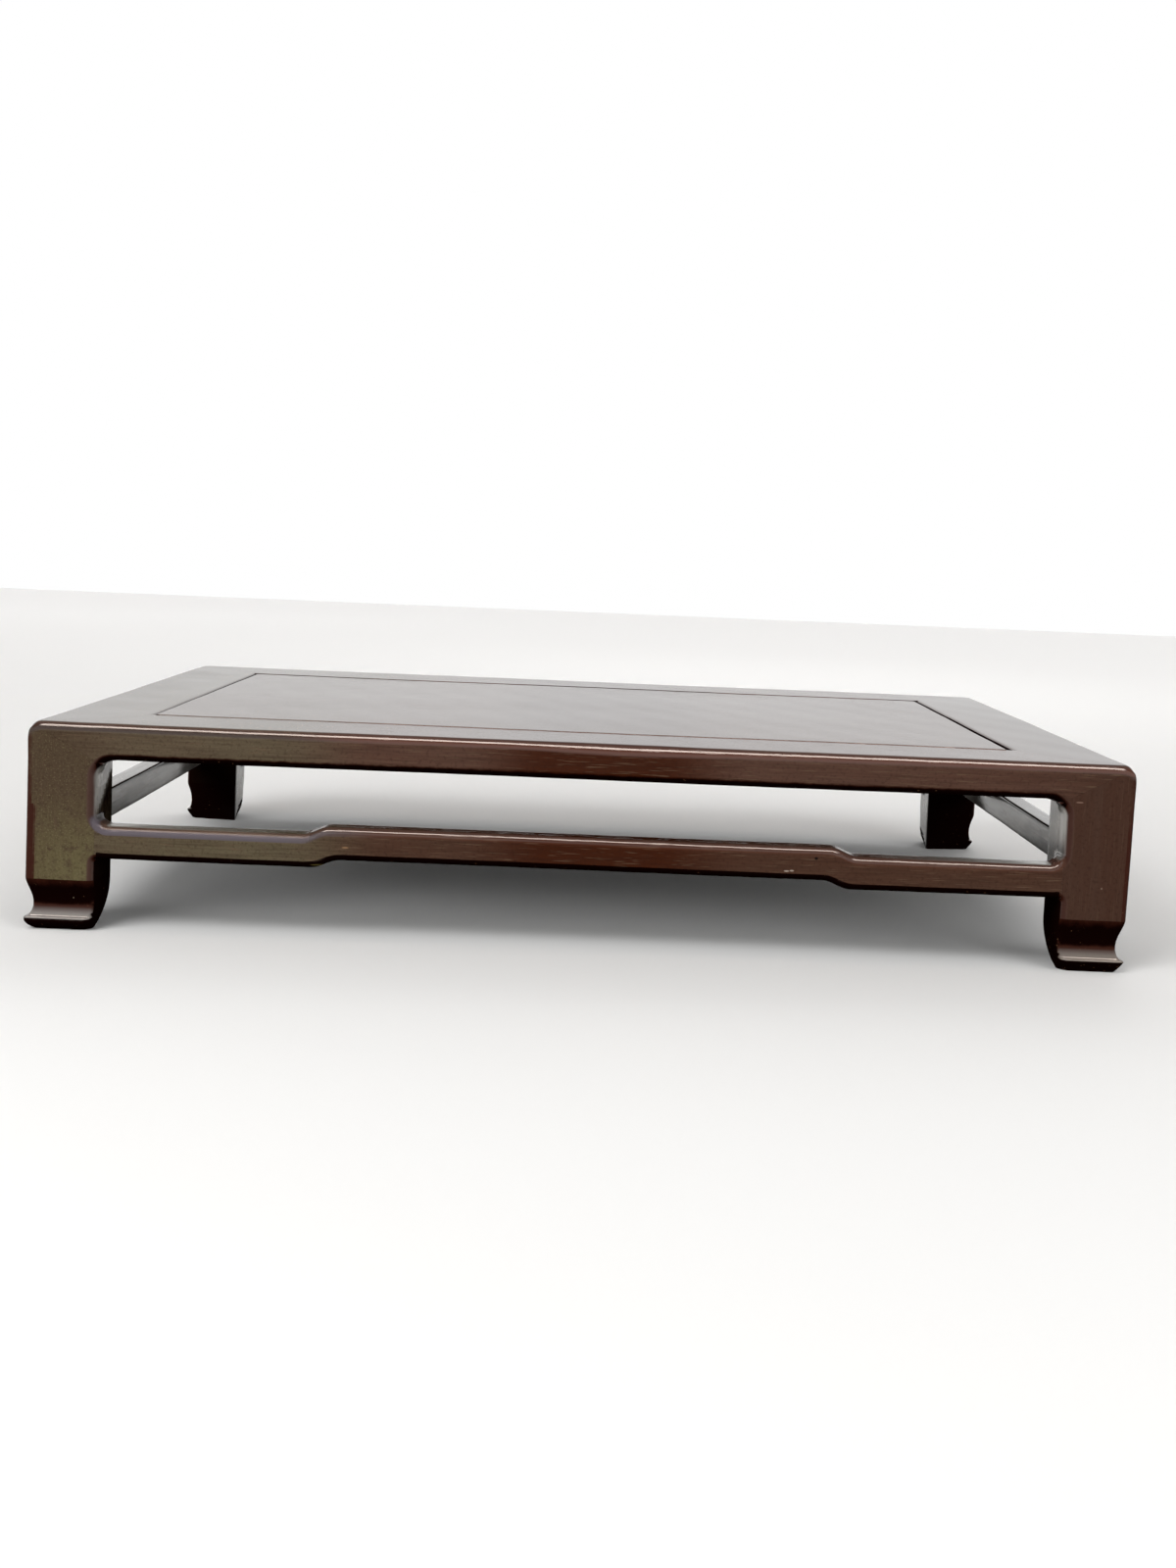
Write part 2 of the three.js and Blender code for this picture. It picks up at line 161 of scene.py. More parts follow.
def makeFloor(s):
    half = s["floorSize"] / 2
    mesh = bpy.data.meshes.new("floor")
    corners = [(-half, -half, 0), (half, -half, 0), (half, half, 0), (-half, half, 0)]
    mesh.from_pydata(corners, [], [(0, 1, 2, 3)])
    floor = addObject("floor", mesh)
    paint = bpy.data.materials.new("paleFloor")
    paint.use_nodes = True
    fill, add, math, times, ramp, mix = nodeTools(paint.node_tree)
    path = add("LightPath")
    # 1 where the camera or the polish looks, 0 for soft light
    direct = math("MAXIMUM", path["Is Camera Ray"], path["Is Glossy Ray"])
    distance = math("LENGTH", add("TexCoord")["Object"], kind="VectorMath")
    far = ramp(distance, *s["farFrom"], 0.0, s["farGlow"], "LINEAR")
    fill(paint.node_tree.nodes["Principled BSDF"], {
        "Roughness": s["floorRough"],
        "Base Color": mix(direct, s["floorBounce"], s["floorColour"]),
        "Emission Color": s["white"],
        "Emission Strength": times(direct, far),
    })
    mesh.materials.append(paint)


def makeWorld(s):
    world = bpy.data.worlds.new("studio")
    bpy.context.scene.world = world
    world.use_nodes = True
    fill, add, _, times, ramp, mix = nodeTools(world.node_tree)
    path = add("LightPath")
    split = add("SeparateXYZ", {0: add("TexCoord")["Generated"]})

    def turn(axis, sides, low=0.0, high=1.0):  # a change with the direction looked in
        return ramp(split[axis], *sides, low, high, "LINEAR")

    wall = turn("Z", s["wallTop"], s["wallSeen"], s["ceilingSeen"])
    room = times(turn("Z", s["roomTop"], s["ceilingSeen"], s["roomSeen"]),
                 turn("Z", s["roomLow"], s["roomFoot"]))
    overhead = times(turn("Y", s["lampFrom"]), turn("Y", s["lampTo"]), turn("Z", s["lampEnds"]))
    around = mix(turn("Y", s["roomFrom"]), wall, room, "FLOAT")
    around = mix(overhead, around, s["lampSeen"], "FLOAT")
    strength = mix(path["Is Glossy Ray"], s["worldLight"], around, "FLOAT")
    strength = mix(path["Is Camera Ray"], strength, s["worldSeen"], "FLOAT")
    colour = mix(overhead, s["white"], s["lampTint"])
    fill(world.node_tree.nodes["Background"], {"Color": colour, "Strength": strength})


makeFloor(stageSet)
makeWorld(stageSet)

lampAim = (0, 0, 0.05)
lampSet = {
    "key": {"place": (-1.1, -1.3, 1.3), "size": 1.2, "watts": 26},
    "fill": {"place": (1.3, -1.2, 0.9), "size": 1.2, "watts": 10},
    "back": {"place": (0.4, 1.6, 1.6), "size": 1.4, "watts": 12},
}


def makeLamp(name, s):
    data = bpy.data.lights.new(name, "AREA")
    data.shape = "SQUARE"
    data.size = s["size"]
    data.energy = s["watts"]
    lamp = addObject(name, data)
    lamp.matrix_world = aimed(s["place"], Vector(lampAim) - Vector(s["place"]))
    lamp.visible_glossy = False  # the polish mirrors the room alone


for lampName, lampValues in lampSet.items():
    makeLamp(lampName, lampValues)
bpy.context.scene.view_settings.view_transform = "Standard"
print("stage and lamps made")


# Hardwood, in four finishes: bright polish on what looks up and on the inner walls at the ends,
# satin low on those of the front legs and on the left of the front stretcher's upper edge, a
# dull shine on the outer faces, and unpolished wood below and in the hollow of the feet.
woodSet = {
    "red": (0.049, 0.0095, 0.0016, 1),
    "brownHigh": (0.110, 0.0570, 0.0400, 1),  # the rails' brown
    "streak": (0.020, 0.007, 0.004, 1),
    "pore": (0.150, 0.095, 0.060, 1),
    "edge": (0.042, 0.0095, 0.0050, 1),
    "arris": (0.105, 0.036, 0.022, 1),  # edges that look up, warm,
    "arrisLeft": (0.030, 0.013, 0.009, 1),  # but dark on the left
    "rubbed": (0.092, 0.052, 0.042, 1),  # edges rubbed paler, and the painted highlight just below the flat tops
    "lip": (0.178, 0.146, 0.122, 1),  # painted reflection on the upper side of the toes,
    "lipSheenLeft": (0.225, 0.205, 0.190, 1),  # paler on the left
    "paintedReflection": (0.100, 0.082, 0.096, 1),  # painted grey-purple reflection in a band along the front stretcher's upper edge
    "fleck": (0.200, 0.170, 0.090, 1),  # tiny pale flecks in the bloom
    "paintedSheen": (0.54, 0.53, 0.495, 1),  # painted reflection of the pale wall on the inner faces of the end bars and legs, mottled
    # painted shade under things, in the feet's necks and on the inner walls, and the dark open lines at
    # the panel's ends
    "shade": (0.0050, 0.0009, 0.0007, 1),
    "speck": (0.30, 0.17, 0.09, 1),  # where an edge is chipped to the bare wood
}
# What differs with the way the grain runs: along the table, across it, or upright.
alongTone = {
    "brown": (0.088, 0.0450, 0.0290, 1), "olive": (0.122, 0.093, 0.059, 1),
    "oliveLow": (0.130, 0.106, 0.064, 1), "fine": 0.24, "pores": 0.50, "polish": 1.5, "flecks": 0.25,
    "smear": 0.26,
}
uprightTone = {
    "brown": (0.073, 0.0380, 0.0260, 1), "olive": (0.086, 0.061, 0.036, 1),
    "oliveLow": (0.150, 0.128, 0.062, 1), "fine": 0.06, "pores": 0.18, "polish": 1.6, "flecks": 0.55,
    "smear": 0.07,
}
toneSet = (alongTone, {**alongTone, "polish": 1.6}, uprightTone)
finishSet = {
    "bright": {"ior": None, "rough": (0.06, 0.11), "bump": 0.12},  # as the tone's polish says
    "satin": {"ior": 1.40, "rough": (0.22, 0.32), "bump": 0.25},
    "dull": {"ior": 1.15, "rough": (0.26, 0.36), "bump": 0.25},
    "unpolished": {"ior": 1.0, "rough": (0.34, 0.46), "bump": 0.25},
}
finishOrder = ("bright", "satin", "dull", "unpolished")
# Small marks, most of them of use: the way of the grain, the finish they lie in, their middle, half
# their size along and up, and their colour.
markSet = (
    (0, "dull", (0.1135, 0.0500), (0.0016, 0.0005), (0.42, 0.34, 0.28, 1)),
    (0, "dull", (0.1163, 0.0503), (0.0013, 0.0005), (0.42, 0.34, 0.28, 1)),
    (0, "dull", (0.1293, 0.0576), (0.0011, 0.0009), (0.006, 0.002, 0.002, 1)),
    (0, "dull", (-0.1272, 0.0528), (0.0020, 0.0006), (0.26, 0.15, 0.08, 1)),
    # a thin yellow-olive line along the lower rounding of the front stretcher's left hump
    (0, "unpolished", (-0.1421, 0.0424), (0.0042, 0.0005), (0.16, 0.13, 0.04, 1)),
    (2, "dull", (0.2604, 0.1057), (0.0028, 0.0004), (0.20, 0.12, 0.09, 1)),
    (2, "dull", (0.2698, 0.0943), (0.0022, 0.0005), (0.20, 0.12, 0.09, 1)),
    (2, "dull", (0.2856, 0.0473), (0.0006, 0.0007), (0.18, 0.12, 0.09, 1)),
    (2, "unpolished", (-0.2760, 0.0181), (0.0005, 0.0005), (0.16, 0.13, 0.09, 1)),
)
# The noises in the wood: how fine they are along the grain and across it, their detail and
# roughness, and the levels between which each one shows.
noiseSet = {
    "cloud": (9, 9, 3, 0.55, ()),
    "mottle": (160, 160, 4, 0.55, ()),
    "figure": (4, 60, 5, 0.55, (0.35, 0.65)),
    "smear": (22, 380, 4, 0.55, (0.44, 0.68)),
    "blotch": (520, 520, 2, 0.55, (0.50, 0.70)),
    "fine": (22, 900, 4, 0.55, (0.40, 0.75)),
    "pores": (60, 1400, 2, 0.55, (0.58, 0.68)),
    "specks": (420, 420, 2, 0.55, (0.70, 0.76)),
    "flecks": (1100, 1100, 1, 0.55, (0.52, 0.74)),
    # this one mottles the painted sheen
    "sheenMottle": (9, 70, 5, 0.65, (0.38, 0.60)),
}
# Where the tones change over the table, and how strongly the layers show.
spreadSet = {
    "ragged": 0.7,  # how raggedly edges and shades run out
    "edge": (0.06, 0.50),
    "shade": (0.10, 0.75),
    "bloomEnd": (-0.104, -0.163),  # the olive bloom fades out from left to right,
    "bloomDrift": 0.05,  # unevenly,
    "bloomClouds": (0.25, 0.60, 0.70, 1.0),  # and comes and goes in clouds
    "bloomRough": 0.06,  # and takes off some shine
    "lowTone": (0.085, 0.035),  # heights between which it takes its low tone
    "lowMottle": (0.28, 0.55),
    "middle": 0.012,  # where the length is reddest,
    "middleFade": (0.085, 0.030),  # and how far from there that fades
    "corner": (0.245, 0.292),  # near the corners the pieces along the table take the legs' tones
    "rail": (0.075, 0.098),  # heights between which the rails' brown sets in
    "share": {"figure": 0.25, "middle": 0.90, "blotch": 0.30, "edge": 0.88, "arris": 0.85, "rubbed": 0.85,
              "shade": 0.985, "speck": 0.35},
    "sheenMottle": (0.45, 0.92),
    "softClouds": (0.3, 0.7),
    "sunk": -0.5,  # how deep pores and fine lines lie, as a share of bumpDeep
    "bumpDeep": 0.0003,
    "markDeep": 0.01,  # how far from the front face a mark still shows
    "markFade": (1.1, 0.6),
}


def woodMaterial(name, grain, finishName, bloomShare, s=woodSet, p=spreadSet):
    tone, finish, share = toneSet[grain], finishSet[finishName], p["share"]
    material = bpy.data.materials.new(name)
    material.use_nodes = True
    fill, add, math, times, ramp, mix = nodeTools(material.node_tree)
    place = add("TexCoord")["Object"]
    split = add("SeparateXYZ", {0: place})
    along, up = split["X"], split["Z"]

    def noise(layer):
        fineAlong, fineAcross, detail, roughness, _ = noiseSet[layer]
        scale = [fineAlong if axis == grain else fineAcross for axis in range(3)]
        vector = add("Mapping", {"Scale": scale, "Vector": place})["Vector"]
        values = {"Scale": 1.0, "Detail": detail, "Roughness": roughness, "Vector": vector}
        return add("TexNoise", values)["Fac"]

    def shown(layer, *between):
        return ramp(noise(layer), *noiseSet[layer][-1], *between)

    def stored(layer):  # what characterise says of a face
        return add("Attribute", attribute_name=layer)["Fac"]

    def spot(middleOf, halfSize, kind="VectorMath"):
        # 1 inside a small ellipse on the front face
        apart = math("SUBTRACT", place, (middleOf[0], lowCorner.y, middleOf[1]), kind=kind)
        scale = (1 / halfSize[0], 1 / p["markDeep"], 1 / halfSize[1])
        scaled = math("MULTIPLY", apart, scale, kind=kind)
        return ramp(math("LENGTH", scaled, kind=kind), *p["markFade"])

    cloud, mottle = noise("cloud"), noise("mottle")
    fine, pores = shown("fine", 0.0, tone["fine"]), shown("pores")
    ragged = times(math("SUBTRACT", mottle, 0.5), p["ragged"])
    edge = ramp(math("ADD", stored("edge"), ragged), *p["edge"])
    shade = ramp(math("ADD", stored("shade"), ragged), *p["shade"])
    drift = times(math("SUBTRACT", cloud, 0.5), p["bloomDrift"])
    leftness = ramp(math("ADD", along, drift), *p["bloomEnd"])
    bloom = times(leftness, ramp(cloud, *p["bloomClouds"]), bloomShare, math("SUBTRACT", 1.0, edge))
    lowness = times(ramp(up, *p["lowTone"]), ramp(mottle, *p["lowMottle"]))
    middle = ramp(math("ABSOLUTE", math("SUBTRACT", along, p["middle"])), *p["middleFade"])
    nearCorner = ramp(math("ABSOLUTE", along), *p["corner"])
    brown, olive = (mix(nearCorner, tone[each], toneSet[2][each]) for each in ("brown", "olive"))
    if grain == 0:
        high = times(ramp(up, *p["rail"]), math("SUBTRACT", 1.0, nearCorner))
        brown = mix(high, brown, s["brownHigh"])
    layers = [  # each covers the ones before it, by its share
        (times(shown("figure"), share["figure"]), s["red"]),
        (times(middle, share["middle"]), s["red"]),
        (bloom, mix(lowness, olive, tone["oliveLow"])),
        (times(shown("flecks"), bloom, tone["flecks"]), s["fleck"]),
        (times(shown("smear"), tone["smear"]), s["streak"]),
        (times(shown("blotch"), share["blotch"]), s["streak"]),
        (fine, s["streak"]),
        (times(pores, tone["pores"]), s["pore"]),
        (times(edge, share["edge"]), s["edge"]),
        (times(stored("arris"), share["arris"]), mix(leftness, s["arris"], s["arrisLeft"])),
        # rubbed edges, and the painted highlight just below the flat tops
        (times(stored("rubbed"), share["rubbed"]), s["rubbed"]),
        # painted reflection along the front stretcher's upper edge, on the left
        (times(stored("paintedReflection"), leftness), s["paintedReflection"]),
        # painted reflection on the toes' lips
        (stored("lip"), mix(leftness, s["lip"], s["lipSheenLeft"])),
        # painted shade
        (times(shade, share["shade"]), s["shade"]),
        # painted sheen: the pale wall's reflection, mottled
        (times(shown("sheenMottle", *p["sheenMottle"]), stored("paintedSheen")), s["paintedSheen"]),
        (times(shown("specks"), edge, share["speck"]), s["speck"]),
    ]
    for markGrain, markFinish, middleOf, halfSize, colour in markSet:
        if (markGrain, markFinish) == (grain, finishName):
            layers.append((spot(middleOf, halfSize), colour))
    body = brown
    for factor, colour in layers:
        body = mix(factor, body, colour)
    softness = math("ADD", ramp(cloud, *p["softClouds"], *finish["rough"]), times(bloom, p["bloomRough"]))
    height = math("ADD", times(pores, p["sunk"]), times(fine, p["sunk"]))
    bump = add("Bump", {"Strength": finish["bump"], "Distance": p["bumpDeep"], "Height": height})
    fill(material.node_tree.nodes["Principled BSDF"], {
        "Base Color": body, "Roughness": softness, "Normal": bump["Normal"],
        "IOR": finish["ior"] or tone["polish"],
    })
    return material


def woodFinishes(name, grain, bloomShare=1.0):
    # one material for each finish, in the order of the faces' material numbers
    return [woodMaterial(name + finish.capitalize(), grain, finish, bloomShare) for finish in finishOrder]


alongX = woodFinishes("hardwoodAlongX", 0)
alongY = woodFinishes("hardwoodAlongY", 1)
alongZ = woodFinishes("hardwoodAlongZ", 2)
board = woodFinishes("boardAlongX", 0, 0.3)
print("wood finished")


# One side of the table, seen square on. The same rules draw the front and the ends:
# along runs from one corner to the other, deep runs inwards from the face.
makerSet = {
    "arrisAcross": 0.0060,  # rounding between top and outer faces, across the top
    "arrisDown": 0.0052,  # and down the face
    "cornerArris": 0.0019,  # rounding of the outer upright corners
    "windowArris": 0.0050,  # rounding round the opening under the rail
    # heights at which the rounding round the space between the feet has these sizes
    "toeLevels": (0.0, 0.0074, 0.0098, 0.0150, 0.022),
    "toeRounds": (0.0066, 0.0036, 0.0016, 0.0022, 0.0042),
    "railFillet": 0.0090,
    "barFillet": 0.0070,
    "lowerFillet": 0.0022,
    "barBack": 0.0018,  # rounding of a stretcher's two inner edges
    "band": 0.016,  # how deep the fillets reach in from the face
    "joint": 0.00003,  # half the open line left between pieces
    "hollow": 0.00010,  # how uneven the planed faces are,
    "holdBelow": 0.03,  # less and less so below this height
    "cornerPush": 0.0022,  # how far the four top corners are worn in
    "cornerSpread": 0.0050,
    "sharpAngle": 40,
}
legBox = [Vector(corner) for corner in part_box("front_left_leg")]
railBox = [Vector(corner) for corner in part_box("front_frame_rail")]
frontBarBox = [Vector(corner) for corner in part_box("front_stretcher")]
endBarBox = [Vector(corner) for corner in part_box("left_side_stretcher")]
panelBox = [Vector(corner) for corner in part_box("top_panel")]
tableTop = highCorner.z
underRail = railBox[0].z
railWidth = railBox[1].y - railBox[0].y

frontSide = {
    "span": highCorner.x - lowCorner.x,
    "legAlong": legBox[1].x - legBox[0].x - makerSet["railFillet"],
    "legDeep": legBox[1].y - legBox[0].y - makerSet["railFillet"],
    "barUnder": frontBarBox[0].z,
    "barThick": frontBarBox[1].y - frontBarBox[0].y,
    "shoulder": 0.0002,  # rounding of the frame's inner edge beside the panel
    "hump": 0.0045,
    "humpLength": {"top": 0.2898, "under": 0.2820},  # of the raised part, from slope to slope
    "humpShort": {"top": 0.0013, "under": 0.0026},  # by which it is shorter on the left
    "humpSlope": 0.0185,
}
frontSide["barTop"] = frontBarBox[1].z - frontSide["hump"]

endSide = {
    "span": highCorner.y - lowCorner.y,
    "legAlong": frontSide["legDeep"],
    "legDeep": frontSide["legAlong"],
    "barUnder": endBarBox[0].z,
    "barTop": endBarBox[1].z,
    "barThick": endBarBox[1].x - endBarBox[0].x,
    "shoulder": 0.0018,
    "hump": 0.0,
}
sideOf = {"front": frontSide, "rear": frontSide, "left": endSide, "right": endSide}


def humpLift(side, along, level):  # a level step up and down, each a soft S
    if side["hump"] == 0:
        return 0 * along
    half = side["span"] / 2
    shorter = np.where(along < half, side["humpShort"][level], 0.0)
    reach = (side["humpLength"][level] + side["humpSlope"]) / 2 - shorter
    rise = np.clip((reach - np.abs(along - half)) / side["humpSlope"], 0, 1)
    return side["hump"] * rise ** 3 * (10 - 15 * rise + 6 * rise * rise)


def quarterDepth(distance, radius):  # a quarter circle: radius at the edge, nothing past it
    inward = radius - np.clip(distance, 0, radius)
    return radius - np.sqrt(np.maximum(radius ** 2 - inward ** 2, 0))


def openingDistance(side, along, height, floor, ceiling, lowFillet, highFillet):
    # how far a point of the face lies from a rectangular opening with rounded corners
    half = side["span"] / 2
    middle = (floor + ceiling) / 2
    fillet = np.where(height > middle, highFillet, lowFillet)
    qAlong = np.abs(along - half) - (half - side["legAlong"]) + fillet
    qHeight = np.abs(height - middle) - (ceiling - floor) / 2 + fillet
    outside = np.hypot(np.maximum(qAlong, 0), np.maximum(qHeight, 0))
    return outside + np.minimum(np.maximum(qAlong, qHeight), 0) - fillet


def faceDepth(side, along, height, s=makerSet):
    # how far the face stands back: both openings have a broad quarter-round edge
    barTop = side["barTop"] + humpLift(side, along, "top")
    barUnder = side["barUnder"] + humpLift(side, along, "under")
    farBelow = -0.5
    window = openingDistance(side, along, height, barTop, underRail, s["barFillet"], s["railFillet"])
    lower = openingDistance(side, along, height, farBelow, barUnder, s["lowerFillet"], s["lowerFillet"])
    lowerArris = np.interp(height, s["toeLevels"], s["toeRounds"])
    return np.maximum(quarterDepth(window, s["windowArris"]), quarterDepth(lower, lowerArris))


def filletReach(gap, radius):
    # the quarter-round in a corner, up to its middle, then back along the mitre to the corner
    gap = np.asarray(gap, dtype=float)
    inside = (gap > 0) & (gap < radius)
    bend = radius - np.sqrt(np.maximum(radius ** 2 - (radius - gap) ** 2, 0))
    return np.where(inside, np.minimum(bend, gap), 0.0)


# The legs stand slightly splayed along the length: how far each one's outer and inner
# faces have moved outwards at the floor, and from where inboard the stretchers follow.
leanSet = {"left": {"outer": 0.0027, "inner": 0.0020}, "right": {"outer": 0.0010, "inner": 0.0018},
           "followFrom": 0.11}


def lean(points, s=leanSet):
    x = points[..., 0]
    outerFace = highCorner.x
    innerFace = outerFace - frontSide["legAlong"]
    follow = np.clip((np.abs(x) - s["followFrom"]) / (innerFace - s["followFrom"]), 0, 1)
    past = np.clip((np.abs(x) - innerFace) / (outerFace - innerFace), 0, 1)
    inner, outer = (np.where(x < 0, s["left"][face], s["right"][face]) for face in ("inner", "outer"))
    fall = np.clip(1 - points[..., 2] / underRail, 0, 1)
    moved = points.copy()
    moved[..., 0] = x + np.sign(x) * fall * (inner * follow + (outer - inner) * past)
    return moved


# The slow waves in the faces, along x, y and z: their size, how fast they turn along the
# three axes, and where they start.
waveSet = (
    ((1.0, (0, 31, 0), 1.0), (0.6, (0, 17, 83), 0), (0.3, (0, 190, 60), 2)),
    ((1.0, (27, 0, 0), 0.4), (0.6, (19, 0, 71), 0), (0.3, (170, 0, 45), 1)),
    ((1.0, (24, 15, 0), 0), (0.5, (-21, 57, 0), 0), (0.3, (150, 90, 0), 0)),
)


def settle(points, s=makerSet):
    # slow waves across each face, alike on every piece, but none where the feet stand
    wave = np.stack([
        sum(size * np.sin(points @ np.array(pitch) + start) for size, pitch, start in waves)
        for waves in waveSet], axis=-1)
    hold = np.clip(points[..., 2:] / s["holdBelow"], 0, 1)
    # the four top corners are worn round: pushed in along their diagonals
    outward = np.where(points < 0, -1.0, 1.0)
    outward[..., 2] = 1.0
    away = np.linalg.norm(points - outward * np.array(highCorner), axis=-1, keepdims=True)
    push = s["cornerPush"] * np.exp(-(away / s["cornerSpread"]) ** 2)
    return lean(points + wave * hold * s["hollow"] - outward / np.sqrt(3) * push)


def smooth(value, low, high):  # grows from low to high, or falls where low is the greater
    share = np.clip((value - low) / (high - low), 0, 1)
    return share * share * (3 - 2 * share)


# How the wood is worn, shaded, dusted and polished, by where a face lies and how it looks.
# Pairs are the limits between which something grows, and two more those where it fades.
wearSet = {
    # the stretchers lie below barLevel, and the front one's face no deeper than faceDeep
    "barLevel": 0.07, "faceDeep": 0.02, "margin": 0.002,
    # how squarely a face looks inwards to be an inner wall, and how little up to be upright
    "wallLook": 0.75, "inward": (0.7, 0.95), "inwardRear": (0.6, 0.9), "upright": (0.30, 0.05),
    # edges, by how far a face turns and how near an outer corner is: wider low on the left,
    # and fading upwards right beside the corner
    "turned": (0.003, 0.12), "cornerEdge": (0.0042, 0.0010), "cornerWider": 0.6, "cornerCalm": 0.006,
    "calmShare": 0.65, "calmHeight": (0.05, 0.10),
    # edges rubbed pale, by how far they look inwards or up, and their shares right and left, and the
    # painted highlight on roundings that look almost straight up
    "rubbed": (0.02, 0.20, 0.80, 0.97), "rubbedBelow": (-0.4, -0.15), "rubbedSides": (0.45, 0.9),
    "highlightTop": (0.60, 0.82, 0.96, 0.995), "highlightTopShare": 0.8,
    # edges that look up, fainter on the stretchers, and the painted reflection band on the front one
    "arris": (0.10, 0.35, 0.80, 0.95), "arrisLow": 0.45, "paintedReflection": (0.03, 0.20, 0.60, 0.80),
    # the open lines at the panel's ends
    "grooveReach": 0.004, "grooveDrop": 0.006, "groove": (0.85, 0.45),
    # the feet: the painted reflection on their lips and the painted shade in their necks
    "lipLook": (-0.16, 0.12), "lipSheenLeast": 0.05, "lipHeight": (0.0135, 0.0070),
    "footShade": 0.36, "neckShade": (0.0, 0.009), "rearFoot": 0.015,
    # painted shade on parts of the inner walls: the left one's edge slants
    "lowWall": (0.78, 0.95), "wallSlant": 1.3, "wallLevel": 0.0888, "wallFar": (0.026, 0.042),
    "duskLeg": (0.080, 0.064), "duskFoot": 0.05, "duskBar": (0.059, 0.049), "duskDeep": (-0.02, -0.13),
    # how dark the painted shade grows on faces that look down, and how much of each other painted shade
    # counts
    "railUnder": (0.0, -0.70), "barUnder": (0.03, -0.20), "legUnder": (-0.20, -0.95),
    "share": {"inward": 0.3, "groove": 0.97, "farWallShade": 0.6, "dusk": 0.6, "rearWall": 0.8},
    # faces that look up less than the first two are unpolished, and more than the others bright
    "bareLook": -0.12, "bareFoot": 0.16, "barBright": 0.40, "railBright": 0.09,
    "satinLeft": -0.147, "satinLook": (0.15, 0.97),
    # painted reflection of the pale wall on the inner walls, and on the flat ends of the front
    # stretcher's top
    "sheenLegs": (0.012, 0.040), "sheenRear": 0.7, "sheenFrom": 0.04, "sheenDusk": 0.75,
    "sheenTop": (0.150, 0.250), "sheenLook": 0.97, "sheenShare": 0.8,
}


def perFace(mesh, what):  # the x, y and z of every face's normal or centre
    values = np.zeros(len(mesh.polygons) * 3, dtype=np.float32)
    mesh.polygons.foreach_get(what, values)
    return values.reshape(-1, 3).T


